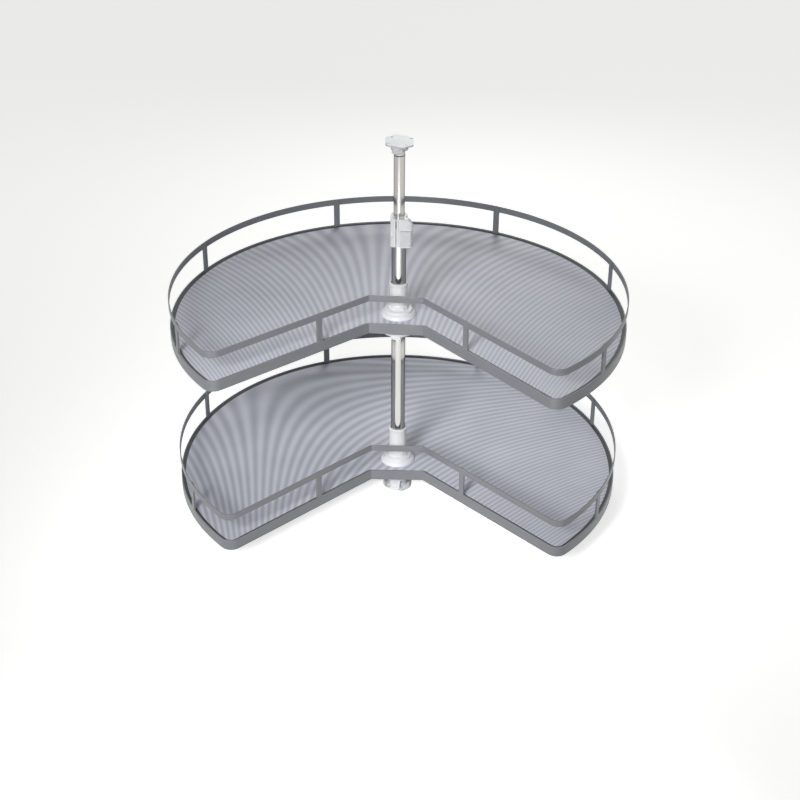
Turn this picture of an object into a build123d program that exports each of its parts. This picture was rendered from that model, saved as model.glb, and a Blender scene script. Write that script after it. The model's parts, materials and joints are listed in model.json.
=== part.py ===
"""Corner cabinet carousel: two three-quarter round trays that turn on a telescopic pole.

The origin is the centre of the base bracket's underside, on the cabinet floor.
+Z runs up the pole, and the open quarter of the trays faces -Y.
"""
import os
from math import cos, radians, sin, tan

from build123d import *

# Driving dimensions, in millimetres and degrees

inner_height = 678.0       # from the cabinet floor to the underside of its top board
tray_radius = 400.0        # to the outside of the edge band
tray_spacing = 302.8
lower_board_bottom = 36.4  # underside of the lower board above the cabinet floor

# How each tray stands, turned about the pole, how far its two front posts stand from
# the pole along the left and the right front edge, and how high its hub's neck is
tray_settings = {
    "lower": {"bottom": lower_board_bottom, "turn": 0.0, "posts": (192.8, 166.0), "neck": 71.0},
    "upper": {"bottom": lower_board_bottom + tray_spacing, "turn": -3.9, "posts": (173.8, 176.5), "neck": 63.5},
}

# Tray plan: two front edges, joined by a short bridge before the pole
front_angle = 44.25        # from straight ahead to each front edge
front_offset = 1.2         # the front edges pass this far behind the pole's axis
bridge_depth = 46.8        # from the pole's axis to the bridge
corner_radius = 20.0
bend_radius = 4.0

# Board, mat, band and gallery rail
board_thickness = 16.0
mat_thickness = 1.2
mat_inset = 8.0
strip_thickness = 2.0      # band, rail and posts are the same steel strip
band_height = 20.0
rail_gap = 42.0            # clear window between the band and the rail
rail_height = 12.0
post_width = 12.0
post_tab = 1.5             # the post's tabs lie against the inside of band and rail
arc_post_angles = (23.2, 69.6, 117.0)   # each side of straight back

# Pole
tube_radius = 12.5
tube_wall = 1.5
inner_tube_radius = 9.5
inner_tube_wall = 1.2
inner_tube_bottom = 400.0
running = 0.08             # radial clearance of what turns or slides on the pole
press = 0.02               # radial clearance of what is pressed on or in
loose = 0.4                # radial clearance of what only passes by
tube_bush_length = 18.0
guide_bush_length = 22.0
plug_length = 20.0
ring_height = 654.0        # the dark joint ring below the top bracket
ring_thickness = 1.2

# Hub: its outside as (radius, height over the mat) up to the foot of the neck, then
# the neck's flared top as (radius, height from the neck's top)
hub_outline = (
    (31.0, 0.0), (31.0, 2.0), (30.3, 3.7), (28.6, 5.4), (26.6, 7.0), (24.8, 8.3), (24.5, 8.8),
    (24.5, 11.1), (23.6, 12.1), (18.2, 13.4), (17.2, 14.2), (17.2, 20.6), (15.9, 22.6),
)
neck_outline = (
    (15.9, -6.5), (16.7, -4.0), (16.7, -2.4), (15.6, -0.5), (14.4, 0.0), (13.5, -0.4), (12.9, -1.4), (12.9, -4.0),
)
spigot_radius = 21.9
bush_radius = 14.0
rib_radius = 17.2          # small upright ribs round the foot of the neck
rib_bottom = 13.0
rib_top = 20.0
rib_count = 12
rib_width = 2.4
rib_reach = 0.9

# Under the board: clamping ring, thrust washer and the collar that grips the pole
ring_radius = 33.0
ring_depth = 7.0
ring_floor = 4.0           # thickness of the ring over its channel for the screw heads
ring_wall = 3.6
ring_bevel = 2.0
ring_bore = 13.4
washer_radius = 22.0
washer_thickness = 2.9
collar_flange_radius = 30.0
collar_flange_top = 10.0   # below the board
collar_flange_thickness = 5.0
collar_depth = 23.4
collar_radius = 16.5
collar_flare = 3.0         # widens the collar where it meets its flange
boss_width = 17.5
boss_reach = 24.0
boss_angle = -99.0         # the collars' and brackets' square bosses face this way
screw_angle = 81.0         # the set screws stand opposite, at the back
boss_corner = 1.5
set_screw_radius = 3.0
hex_socket_radius = 1.5
hex_socket_depth = 2.2
tip_gap = 0.15             # between a set screw's tip and the pole
thread_clearance = 0.05
hub_screw_circle = 26.0
hub_screw_radius = 2.0
hub_screw_hole = 2.3
screw_head_radius = 2.9
screw_head_height = 2.2
screw_hold = 2.6           # how far the hub screws reach into the flange
cross_length = 3.6
cross_width = 0.8
cross_depth = 1.2

# Floor and ceiling brackets: a six-sided plate, the same when turned half round
plate_corners = ((-23.0, -18.0), (7.0, -32.0), (23.5, -17.5))
plate_corner_radius = 5.0
plate_thickness = 3.0
plate_bevel = 0.8
mount_turn = -57.0         # the first screw hole's place on the circle
mount_circle = 23.0
mount_hole_radius = 2.25
base_socket_radius = 17.0
base_socket_top = 12.5
base_spigot_height = 24.0
base_screw_height = 7.0
top_socket_radius = 15.0
top_socket_depth = 14.0
top_screw_depth = 8.0
boss_groove = 1.6          # two upright grooves in the base boss leave three ribs
boss_groove_place = 5.4

# Height clamp with its cam lever
clamp_bottom = 494.0
clamp_top = 546.0
clamp_radius = 14.6
clamp_shoulder = 13.0      # large rounding of the top right corner, seen from the front
tube_top = 518.0           # the lower tube ends inside the clamp
slit_x = -4.7
slit_width = 0.8
slot_width = 1.9           # the slit opens into a short slot in the front face
slot_bottom = 527.5
slot_top = 540.0
ear_front = 21.5           # the clamp's ears reach this far in front of the axis
ear_left = -14.4
ear_right = 11.2
pivot_x = 17.8
pivot_y = -17.5
knuckle_radius = 6.3
barrel_radius = 6.0
pin_radius = 2.0
pin_top = 540.5
lever_bottom = 497.4
lever_top = 524.6
lever_gap = 0.5            # above and below the lever
paddle_left = 2.6
paddle_front = 24.8
paddle_edge = 1.4
paddle_corner = 2.2
bolt_height = 511.0
bolt_radius = 2.5
bolt_head_radius = 4.0
bolt_head_recess = 2.6
eye_radius = 4.0
eye_half_height = 4.5
eye_clearance = 4.6        # from the pin's axis to the inside of the paddle
knob_x = 15.4
knob_height = 534.2
knob_radius = 4.0

os.makedirs("parts", exist_ok=True)


def level(height, turn=0.0):
    """A horizontal plane at a height, turned about the pole."""
    return Plane(origin=(0, 0, height), x_dir=(cos(radians(turn)), sin(radians(turn)), 0), z_dir=(0, 0, 1))


def save(piece, name):
    piece.part.label = name
    export_step(piece.part, f"parts/{name}.step")


def tray_plan(inset):
    """The tray's outline seen from above, drawn in by the inset."""
    slope = tan(radians(front_angle))
    bridge_half = bridge_depth * slope + front_offset / cos(radians(front_angle))
    far = 2 * tray_radius
    with BuildSketch() as plan:
        Circle(tray_radius)
        with BuildLine():
            Polyline(
                (-bridge_half, -bridge_depth),
                (bridge_half, -bridge_depth),
                (bridge_half + far * slope, -bridge_depth - far),
                (-bridge_half - far * slope, -bridge_depth - far),
                close=True,
            )
        make_face(mode=Mode.SUBTRACT)
        fillet(plan.vertices().sort_by(Axis.Y)[:2], corner_radius)
        bends = plan.vertices().filter_by(lambda v: abs(v.Y + bridge_depth) < 0.01)
        fillet(bends, bend_radius)
        if inset:
            offset(amount=-inset)
    return plan.sketch


plan_outer = tray_plan(0.0)
plan_strip = tray_plan(strip_thickness)
plan_tab = tray_plan(strip_thickness + post_tab)
plan_mat = tray_plan(mat_inset)


def post_places(left, right):
    """Where the posts stand: two on the front edges and the rest round the arc."""
    places = []
    across, ahead = sin(radians(front_angle)), cos(radians(front_angle))
    for side, along in ((-1, left), (1, right)):
        x = side * (along * across + front_offset * ahead)
        y = front_offset * across - along * ahead
        places.append(Location((x, y, 0), (0, 0, side * (front_angle - 90))))
    for angle in arc_post_angles:
        for side in (-1, 1):
            azimuth = 90 + side * angle
            x = tray_radius * cos(radians(azimuth))
            y = tray_radius * sin(radians(azimuth))
            places.append(Location((x, y, 0), (0, 0, azimuth - 90)))
    return places


def make_tray(name, bottom, turn, posts, neck):
    """One turning tray: board, mat, band, rail, posts and the hub that carries them."""
    board_top = bottom + board_thickness
    mat_top = board_top + mat_thickness
    band_top = bottom + band_height
    rail_bottom = band_top + rail_gap
    rail_top = rail_bottom + rail_height

    with BuildPart() as board:
        with BuildSketch(level(bottom, turn)):
            add(plan_strip)
            Circle(spigot_radius + 0.1, mode=Mode.SUBTRACT)
            with PolarLocations(hub_screw_circle, 4):
                Circle(hub_screw_hole, mode=Mode.SUBTRACT)
        extrude(amount=board_thickness)
    save(board, f"{name}_board")

    with BuildPart() as mat:
        with BuildSketch(level(board_top, turn)):
            add(plan_mat)
            Circle(spigot_radius + 0.1, mode=Mode.SUBTRACT)
            with PolarLocations(hub_screw_circle, 4):
                Circle(hub_screw_hole, mode=Mode.SUBTRACT)
        extrude(amount=mat_thickness)
    save(mat, f"{name}_mat")

    with BuildPart() as band:
        with BuildSketch(level(bottom, turn)):
            add(plan_outer)
            add(plan_strip, mode=Mode.SUBTRACT)
        extrude(amount=band_height)
    save(band, f"{name}_band")

    with BuildPart() as rail:
        with BuildSketch(level(rail_bottom, turn)):
            add(plan_outer)
            add(plan_strip, mode=Mode.SUBTRACT)
        extrude(amount=rail_height)
    save(rail, f"{name}_rail")

    # Each post fills the window flush with the strips, and a thinner tab behind it
    # runs down inside the band and up inside the rail
    places = post_places(*posts)
    with BuildPart() as post_set:
        with BuildSketch(level(band_top, turn)):
            with Locations(*places):
                Rectangle(post_width, 8 * strip_thickness)
            add(plan_outer, mode=Mode.INTERSECT)
            add(plan_strip, mode=Mode.SUBTRACT)
        extrude(amount=rail_gap)
        with BuildSketch(level(board_top, turn)):
            with Locations(*places):
                Rectangle(post_width, 8 * strip_thickness)
            add(plan_strip, mode=Mode.INTERSECT)
            add(plan_tab, mode=Mode.SUBTRACT)
        extrude(amount=rail_top - 1.0 - board_top)
    save(post_set, f"{name}_posts")

    # The hub's flange lies on the mat and rises as a dome to a ledge, its spigot fills
    # the board's hole, and its neck stands up round the pole
    neck_top = mat_top + neck
    with BuildPart() as hub:
        with BuildSketch(Plane.XZ):
            with BuildLine():
                Polyline(
                    (bush_radius, bottom),
                    (spigot_radius, bottom),
                    (spigot_radius, mat_top),
                    *((radius, mat_top + height) for radius, height in hub_outline),
                    *((radius, neck_top + height) for radius, height in neck_outline),
                    (bush_radius, neck_top + neck_outline[-1][1]),
                    close=True,
                )
            make_face()
        revolve(axis=Axis.Z)
        # Upright ribs round the foot of the neck
        with BuildSketch(level(mat_top + rib_bottom, turn)):
            with PolarLocations(rib_radius, rib_count):
                Rectangle(2 * rib_reach, rib_width)
        extrude(amount=rib_top - rib_bottom)
        # Blind holes for the four screws that pull the ring up
        with BuildSketch(level(mat_top, turn)):
            with PolarLocations(hub_screw_circle, 4):
                Circle(hub_screw_radius)
        extrude(amount=screw_hold + 0.2, mode=Mode.SUBTRACT)
    save(hub, f"{name}_hub")

    with BuildPart() as bush:
        with BuildSketch(level(bottom)):
            Circle(bush_radius)
            Circle(tube_radius + running, mode=Mode.SUBTRACT)
        extrude(amount=neck_top + neck_outline[-1][1] - bottom)
        chamfer(bush.edges().filter_by(GeomType.CIRCLE).sort_by(Axis.Z)[-2:], 0.4)
    save(bush, f"{name}_bush")

    # A channel in the ring's underside takes the screw heads
    with BuildPart() as ring:
        with BuildSketch(Plane.XZ):
            with BuildLine():
                Polyline(
                    (ring_bore, bottom),
                    (ring_radius, bottom),
                    (ring_radius, bottom - ring_depth + ring_bevel),
                    (ring_radius - ring_bevel, bottom - ring_depth),
                    (ring_radius - ring_wall, bottom - ring_depth),
                    (ring_radius - ring_wall, bottom - ring_floor),
                    (washer_radius + 0.6, bottom - ring_floor),
                    (washer_radius + 0.6, bottom - ring_depth),
                    (ring_bore, bottom - ring_depth),
                    close=True,
                )
            make_face()
        revolve(axis=Axis.Z)
        with BuildSketch(level(bottom, turn)):
            with PolarLocations(hub_screw_circle, 4):
                Circle(hub_screw_hole)
        extrude(amount=-ring_depth, mode=Mode.SUBTRACT)
    save(ring, f"{name}_hub_ring")

    with BuildPart() as screws:
        with BuildSketch(level(bottom - ring_floor, turn)):
            with PolarLocations(hub_screw_circle, 4):
                Circle(screw_head_radius)
        extrude(amount=-screw_head_height)
        with BuildSketch(level(bottom - ring_floor, turn)):
            with PolarLocations(hub_screw_circle, 4):
                Circle(hub_screw_radius - thread_clearance)
        extrude(amount=ring_floor + board_thickness + mat_thickness + screw_hold)
        # Cross recess, drawn as two slots
        with BuildSketch(level(bottom - ring_floor - screw_head_height, turn)):
            with PolarLocations(hub_screw_circle, 4):
                Rectangle(cross_length, cross_width)
                Rectangle(cross_width, cross_length)
        extrude(amount=cross_depth, mode=Mode.SUBTRACT)
    save(screws, f"{name}_hub_screws")


def make_collar(name, bottom):
    """What stays with the pole under a tray: washer, gripping collar and set screw."""
    flange_top = bottom - collar_flange_top
    flange_bottom = flange_top - collar_flange_thickness
    collar_bottom = bottom - collar_depth
    screw_height = (flange_bottom + collar_bottom) / 2

    with BuildPart() as washer:
        with BuildSketch(level(flange_top)):
            Circle(washer_radius)
            Circle(tube_radius + loose, mode=Mode.SUBTRACT)
        extrude(amount=washer_thickness)
    save(washer, f"{name}_washer")

    with BuildPart() as collar:
        with BuildSketch(Plane.XZ):
            with BuildLine():
                Polyline(
                    (tube_radius + running, collar_bottom),
                    (collar_radius - 0.8, collar_bottom),
                    (collar_radius, collar_bottom + 0.8),
                    (collar_radius, flange_bottom - collar_flare),
                    (collar_radius + collar_flare, flange_bottom),
                    (collar_flange_radius - 1.5, flange_bottom),
                    (collar_flange_radius, flange_bottom + 1.5),
                    (collar_flange_radius, flange_top - 1.0),
                    (collar_flange_radius - 1.0, flange_top),
                    (tube_radius + running, flange_top),
                    close=True,
                )
            make_face()
        revolve(axis=Axis.Z)
        # The square boss in front, and the threaded hole for the set screw behind
        with BuildSketch(level(collar_bottom, boss_angle)):
            with Locations(((tube_radius + 2 + boss_reach) / 2, 0)):
                RectangleRounded(boss_reach - tube_radius - 2, boss_width, boss_corner)
        extrude(amount=collar_depth - collar_flange_top - collar_flange_thickness + 1.0)
        with BuildSketch(screw_plane(screw_height, collar_flange_radius)):
            Circle(set_screw_radius)
        extrude(amount=-(collar_flange_radius - tube_radius), mode=Mode.SUBTRACT)
    save(collar, f"{name}_collar")

    save(set_screw(screw_height, collar_radius, tube_radius), f"{name}_collar_screw")


def screw_plane(height, reach):
    """The upright plane at a set screw's outer end, with its axis as the normal."""
    out = (cos(radians(screw_angle)), sin(radians(screw_angle)), 0)
    return Plane(origin=(reach * out[0], reach * out[1], height), x_dir=(-out[1], out[0], 0), z_dir=out)


def set_screw(height, reach, shaft_radius):
    """A socket set screw whose tip stands just off the shaft."""
    with BuildPart() as screw:
        with BuildSketch(screw_plane(height, reach)):
            Circle(set_screw_radius - thread_clearance)
        extrude(amount=-(reach - shaft_radius - tip_gap))
        with BuildSketch(screw_plane(height, reach)):
            RegularPolygon(hex_socket_radius, 6, major_radius=False)
        extrude(amount=-hex_socket_depth, mode=Mode.SUBTRACT)
    return screw


for tray_name, setting in tray_settings.items():
    make_tray(tray_name, setting["bottom"], setting["turn"], setting["posts"], setting["neck"])
    make_collar(tray_name, setting["bottom"])


with BuildSketch() as plate_plan:
    half_round = [(-x, -y) for x, y in plate_corners]
    with BuildLine():
        FilletPolyline(*plate_corners, *half_round, radius=plate_corner_radius, close=True)
    make_face()

# Base bracket: a plate with a socket, and a spigot that fits inside the tube

tube_bottom = plate_thickness
with BuildPart() as base_bracket:
    with BuildSketch(Plane.XY):
        add(plate_plan.sketch)
    extrude(amount=plate_thickness)
    chamfer(base_bracket.faces().sort_by(Axis.Z)[-1].edges(), plate_bevel)
    with BuildSketch(Plane.XY.offset(plate_thickness)):
        Circle(base_socket_radius)
    extrude(amount=base_socket_top - plate_thickness)
    with BuildSketch(level(plate_thickness, boss_angle)):
        with Locations(((tube_radius + 2 + boss_reach) / 2, 0)):
            RectangleRounded(boss_reach - tube_radius - 2, boss_width, boss_corner)
    extrude(amount=base_socket_top - plate_thickness)
    # Two upright grooves in the boss's face leave three ribs
    with BuildSketch(level(plate_thickness, boss_angle)):
        with Locations((boss_reach, -boss_groove_place), (boss_reach, boss_groove_place)):
            Rectangle(boss_groove, boss_groove)
    extrude(amount=base_socket_top - plate_thickness, mode=Mode.SUBTRACT)
    with BuildSketch(Plane.XY.offset(tube_bottom)):
        Circle(tube_radius + press)
    extrude(amount=base_socket_top - tube_bottom, mode=Mode.SUBTRACT)
    with BuildSketch(Plane.XY.offset(tube_bottom)):
        Circle(tube_radius - tube_wall - 0.1)
    extrude(amount=base_spigot_height)
    with BuildSketch(Plane.XY):
        with PolarLocations(mount_circle, 4, start_angle=mount_turn):
            Circle(mount_hole_radius)
    extrude(amount=plate_thickness, mode=Mode.SUBTRACT)
    with BuildSketch(screw_plane(base_screw_height, base_socket_radius)):
        Circle(set_screw_radius)
    extrude(amount=-(base_socket_radius - tube_radius), mode=Mode.SUBTRACT)
save(base_bracket, "base_bracket")
save(set_screw(base_screw_height, base_socket_radius, tube_radius), "base_set_screw")

# Telescopic pole: the outer tube stands in the base, and the inner one slides in it

with BuildPart() as lower_tube:
    with BuildSketch(Plane.XY.offset(tube_bottom)):
        Circle(tube_radius)
        Circle(tube_radius - tube_wall, mode=Mode.SUBTRACT)
    extrude(amount=tube_top - tube_bottom)
save(lower_tube, "lower_tube")

with BuildPart() as tube_bush:
    with BuildSketch(Plane.XY.offset(tube_top - tube_bush_length)):
        Circle(tube_radius - tube_wall - press)
        Circle(inner_tube_radius + running, mode=Mode.SUBTRACT)
    extrude(amount=tube_bush_length)
save(tube_bush, "tube_bush")

with BuildPart() as upper_tube:
    with BuildSketch(Plane.XY.offset(inner_tube_bottom)):
        Circle(inner_tube_radius)
        Circle(inner_tube_radius - inner_tube_wall, mode=Mode.SUBTRACT)
    extrude(amount=ring_height - ring_thickness / 2 - inner_tube_bottom)
save(upper_tube, "upper_tube")

with BuildPart() as guide_bush:
    with BuildSketch(Plane.XY.offset(inner_tube_bottom)):
        Circle(tube_radius - tube_wall - running)
        Circle(inner_tube_radius + press, mode=Mode.SUBTRACT)
    extrude(amount=guide_bush_length)
    chamfer(guide_bush.edges().filter_by(GeomType.CIRCLE).sort_by(Axis.Z)[:1], 0.5)
save(guide_bush, "guide_bush")

# Top end: a plug in the inner tube carries a stub of the same diameter, with a thin
# dark ring in the joint, and the stub stands in the ceiling bracket

plug_radius = inner_tube_radius - inner_tube_wall - press
joint_bottom = ring_height - ring_thickness / 2
joint_top = ring_height + ring_thickness / 2
stub_top = inner_height - plate_thickness

with BuildPart() as top_spigot:
    with BuildSketch(Plane.XY.offset(joint_top - plug_length)):
        Circle(plug_radius)
    extrude(amount=plug_length)
    with BuildSketch(Plane.XY.offset(joint_top)):
        Circle(inner_tube_radius)
    extrude(amount=stub_top - joint_top)
save(top_spigot, "top_spigot")

with BuildPart() as joint_ring:
    with BuildSketch(Plane.XY.offset(joint_bottom)):
        Circle(inner_tube_radius + 0.2)
        Circle(plug_radius + press, mode=Mode.SUBTRACT)
    extrude(amount=ring_thickness)
save(joint_ring, "joint_ring")

with BuildPart() as top_bracket:
    with BuildSketch(Plane.XY.offset(inner_height - plate_thickness)):
        add(plate_plan.sketch)
    extrude(amount=plate_thickness)
    chamfer(top_bracket.faces().sort_by(Axis.Z)[0].edges(), plate_bevel)
    with BuildSketch(Plane.XY.offset(inner_height - top_socket_depth)):
        Circle(top_socket_radius)
    extrude(amount=top_socket_depth - plate_thickness)
    chamfer(top_bracket.edges().filter_by(GeomType.CIRCLE).sort_by(Axis.Z)[0], 1.0)
    with BuildSketch(level(inner_height - top_socket_depth, boss_angle)):
        with Locations(((inner_tube_radius + 2 + boss_reach) / 2, 0)):
            RectangleRounded(boss_reach - inner_tube_radius - 2, boss_width, boss_corner)
    extrude(amount=top_socket_depth - plate_thickness)
    with BuildSketch(Plane.XY.offset(inner_height - top_socket_depth)):
        Circle(inner_tube_radius + press)
    extrude(amount=top_socket_depth - plate_thickness, mode=Mode.SUBTRACT)
    with BuildSketch(Plane.XY.offset(inner_height - plate_thickness)):
        with PolarLocations(mount_circle, 4, start_angle=mount_turn):
            Circle(mount_hole_radius)
    extrude(amount=plate_thickness, mode=Mode.SUBTRACT)
    with BuildSketch(screw_plane(inner_height - top_screw_depth, top_socket_radius)):
        Circle(set_screw_radius)
    extrude(amount=-(top_socket_radius - inner_tube_radius), mode=Mode.SUBTRACT)
save(top_bracket, "top_bracket")
save(set_screw(inner_height - top_screw_depth, top_socket_radius, inner_tube_radius), "top_set_screw")

# Height clamp: a split housing round both tubes, with two ears that a cross bolt
# pulls together when the cam lever is shut. A knuckle above the lever and a foot
# below it hold the ends of the lever's pin.

knuckle_bottom = lever_top + lever_gap
foot_top = lever_bottom - lever_gap
knuckle_front = knuckle_radius - pivot_y
ear_plane = Plane(origin=(ear_left, pivot_y, bolt_height), x_dir=(0, 1, 0), z_dir=(1, 0, 0))


def pin_holder(height):
    """The plan of what reaches forward from the ear and surrounds the pin."""
    with BuildSketch(Plane.XY.offset(height)) as plan:
        with Locations((pivot_x, pivot_y)):
            Circle(knuckle_radius)
        with BuildLine():
            Polyline(
                (0, -8),
                (pivot_x, pivot_y + knuckle_radius),
                (pivot_x, -knuckle_front),
                (0.6, -knuckle_front),
                (-2.0, -ear_front),
                close=True,
            )
        make_face()
    return plan.sketch


with BuildPart() as clamp_housing:
    with BuildSketch(Plane.XY.offset(clamp_bottom)):
        Circle(clamp_radius)
        with BuildLine():
            FilletPolyline(
                (ear_left, 0),
                (ear_left, -ear_front),
                (ear_right, -ear_front),
                (ear_right, 0),
                (0, 6),
                radius=2.5,
                close=True,
            )
        make_face()
    extrude(amount=clamp_top - clamp_bottom)
    extrude(pin_holder(knuckle_bottom), amount=clamp_top - knuckle_bottom)
    extrude(pin_holder(clamp_bottom), amount=foot_top - clamp_bottom)
    # The large rounding of the knuckle's top, seen from the front
    with BuildSketch(Plane.XZ):
        right = pivot_x + knuckle_radius
        with Locations((right - clamp_shoulder / 2 + 1, clamp_top - clamp_shoulder / 2 + 1)):
            Rectangle(clamp_shoulder + 2, clamp_shoulder + 2)
        with Locations((right - clamp_shoulder, clamp_top - clamp_shoulder)):
            Circle(clamp_shoulder, mode=Mode.SUBTRACT)
    extrude(amount=2 * ear_front, both=True, mode=Mode.SUBTRACT)
    chamfer(clamp_housing.faces().sort_by(Axis.Z)[0].edges(), 1.2)
    with BuildSketch(Plane.XY.offset(clamp_bottom)):
        Circle(tube_radius + press)
    extrude(amount=tube_top - clamp_bottom, mode=Mode.SUBTRACT)
    with BuildSketch(Plane.XY.offset(tube_top)):
        Circle(inner_tube_radius + running)
    extrude(amount=clamp_top - tube_top, mode=Mode.SUBTRACT)
    with BuildSketch(Plane.XY.offset(clamp_bottom)):
        with Locations((slit_x, -ear_front / 2)):
            Rectangle(slit_width, ear_front + 4)
    extrude(amount=clamp_top - clamp_bottom, mode=Mode.SUBTRACT)
    with BuildSketch(Plane.XY.offset(slot_bottom)):
        with Locations((slit_x, -ear_front + 1.0)):
            Rectangle(slot_width, 6.0)
    extrude(amount=slot_top - slot_bottom, mode=Mode.SUBTRACT)
    with BuildSketch(Plane.XY.offset(clamp_bottom)):
        with Locations((pivot_x, pivot_y)):
            Circle(pin_radius)
    extrude(amount=pin_top + 0.3 - clamp_bottom, mode=Mode.SUBTRACT)
    with BuildSketch(ear_plane):
        Circle(bolt_radius + 0.1)
    extrude(amount=ear_right - ear_left + 1, mode=Mode.SUBTRACT)
    with BuildSketch(ear_plane):
        Circle(bolt_head_radius + 0.2)
    extrude(amount=bolt_head_recess, mode=Mode.SUBTRACT)
    # A low domed knob on the knuckle's face
    with BuildSketch(Plane(origin=(knob_x, -knuckle_front, knob_height), x_dir=(1, 0, 0), z_dir=(0, -1, 0))):
        Circle(knob_radius)
    extrude(amount=1.0, taper=35)
save(clamp_housing, "clamp_housing")

# The lever's barrel has an open middle for the bolt's eye, and its flat paddle
# lies across the front of the ears and ends in a heel
with BuildPart() as clamp_lever:
    with BuildSketch(Plane.XY.offset(lever_bottom)):
        with Locations((pivot_x, pivot_y)):
            Circle(barrel_radius)
        with BuildLine():
            Polyline(
                (pivot_x + barrel_radius, pivot_y),
                (pivot_x + barrel_radius, -paddle_front),
                (paddle_left, -paddle_front),
                (paddle_left, pivot_y - eye_clearance - 0.4),
                (10.0, pivot_y - eye_clearance),
                (pivot_x - 2.0, pivot_y - eye_clearance),
                close=True,
            )
        make_face()
    extrude(amount=lever_top - lever_bottom)
    fillet(clamp_lever.edges().filter_by(Axis.Z).sort_by(Axis.Y)[:2], paddle_edge)
    with BuildSketch(Plane.XZ):
        with Locations(((paddle_left + pivot_x + barrel_radius) / 2, (lever_bottom + lever_top) / 2)):
            RectangleRounded(pivot_x + barrel_radius - paddle_left, lever_top - lever_bottom, paddle_corner)
    extrude(amount=2 * paddle_front, both=True, mode=Mode.INTERSECT)
    with BuildSketch(Plane.XY.offset(bolt_height - eye_half_height - 0.5)):
        with Locations((pivot_x, pivot_y)):
            Circle(barrel_radius + 0.2)
        with Locations((pivot_x, pivot_y - eye_clearance - barrel_radius)):
            Rectangle(4 * barrel_radius, 2 * barrel_radius, mode=Mode.SUBTRACT)
    extrude(amount=2 * eye_half_height + 1.0, mode=Mode.SUBTRACT)
    with BuildSketch(Plane.XY.offset(lever_bottom)):
        with Locations((pivot_x, pivot_y)):
            Circle(pin_radius + running)
    extrude(amount=lever_top - lever_bottom, mode=Mode.SUBTRACT)
save(clamp_lever, "clamp_lever")

with BuildPart() as clamp_pin:
    with BuildSketch(Plane.XY.offset(clamp_bottom + 0.5)):
        with Locations((pivot_x, pivot_y)):
            Circle(pin_radius - press)
    extrude(amount=pin_top - clamp_bottom - 0.5)
save(clamp_pin, "clamp_pin")

# Cross bolt: a domed head sunk in the left ear and an eye round the pin
with BuildPart() as clamp_bolt:
    with BuildSketch(ear_plane):
        Circle(bolt_radius)
    extrude(amount=pivot_x - ear_left - 2.0)
    with BuildSketch(ear_plane):
        Circle(bolt_head_radius)
    extrude(amount=bolt_head_recess)
    fillet(clamp_bolt.edges().filter_by(GeomType.CIRCLE).sort_by(Axis.X)[0], 1.2)
    with BuildSketch(Plane.XY.offset(bolt_height - eye_half_height)):
        with Locations((pivot_x, pivot_y)):
            Circle(eye_radius)
    extrude(amount=2 * eye_half_height)
    with BuildSketch(Plane.XY.offset(bolt_height - eye_half_height)):
        with Locations((pivot_x, pivot_y)):
            Circle(pin_radius)
    extrude(amount=2 * eye_half_height, mode=Mode.SUBTRACT)
save(clamp_bolt, "clamp_bolt")
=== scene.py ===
import json
import math

import bpy
import bmesh
import numpy as np
from mathutils import Matrix, Vector
from mathutils.geometry import delaunay_2d_cdt


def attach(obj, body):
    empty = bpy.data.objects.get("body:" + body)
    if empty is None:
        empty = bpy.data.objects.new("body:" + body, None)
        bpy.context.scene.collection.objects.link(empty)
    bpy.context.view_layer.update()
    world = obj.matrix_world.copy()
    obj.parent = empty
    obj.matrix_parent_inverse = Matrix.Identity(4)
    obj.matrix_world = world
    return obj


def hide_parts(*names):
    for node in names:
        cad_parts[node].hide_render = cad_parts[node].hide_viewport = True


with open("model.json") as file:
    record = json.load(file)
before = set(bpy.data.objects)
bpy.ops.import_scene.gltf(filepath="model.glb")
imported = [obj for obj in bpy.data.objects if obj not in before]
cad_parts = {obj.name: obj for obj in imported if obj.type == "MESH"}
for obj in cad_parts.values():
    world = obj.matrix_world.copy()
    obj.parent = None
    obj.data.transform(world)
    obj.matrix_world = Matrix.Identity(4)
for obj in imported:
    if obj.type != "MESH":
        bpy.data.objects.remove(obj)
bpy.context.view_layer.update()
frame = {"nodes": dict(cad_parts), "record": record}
mm = 0.001  # every length below is in millimetres until a mesh is made


# Rounds every corner of a line of points. With h half the angle at a corner and r its
# radius, the arc starts and ends r / tan(h) from the corner, round a centre r / sin(h)
# away, and one more point just outside each end keeps the flats flat.
def roundedLine(points, radii, closed=True, steps=5, guard=0.06):
    corner = np.asarray(points, float)
    radius = np.broadcast_to(np.asarray(radii, float), len(corner)).copy()[:, None]
    back = np.roll(corner, 1, 0) - corner
    ahead = np.roll(corner, -1, 0) - corner
    back /= np.linalg.norm(back, axis=1, keepdims=True)
    ahead /= np.linalg.norm(ahead, axis=1, keepdims=True)
    half = np.arccos(np.clip((back * ahead).sum(1, keepdims=True), -0.99999, 0.99999)) / 2
    middle = back + ahead
    middle /= np.linalg.norm(middle, axis=1, keepdims=True)
    centre = corner + middle * radius / np.sin(half)
    start = corner + back * radius / np.tan(half)
    end = corner + ahead * radius / np.tan(half)
    sweep = math.pi - 2 * half
    t = np.linspace(0, 1, steps)[None, :, None]
    arc = (np.sin((1 - t) * sweep[:, None]) * (start - centre)[:, None]
           + np.sin(t * sweep[:, None]) * (end - centre)[:, None]) / np.sin(sweep)[:, None] + centre[:, None]
    whole = np.concatenate([(start + back * guard)[:, None], arc, (end + ahead * guard)[:, None]], 1)
    if closed:
        return whole.reshape(-1, 2)
    inner = whole[1:-1].reshape(-1, 2)
    return np.concatenate([corner[:1], inner, corner[-1:]])


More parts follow.
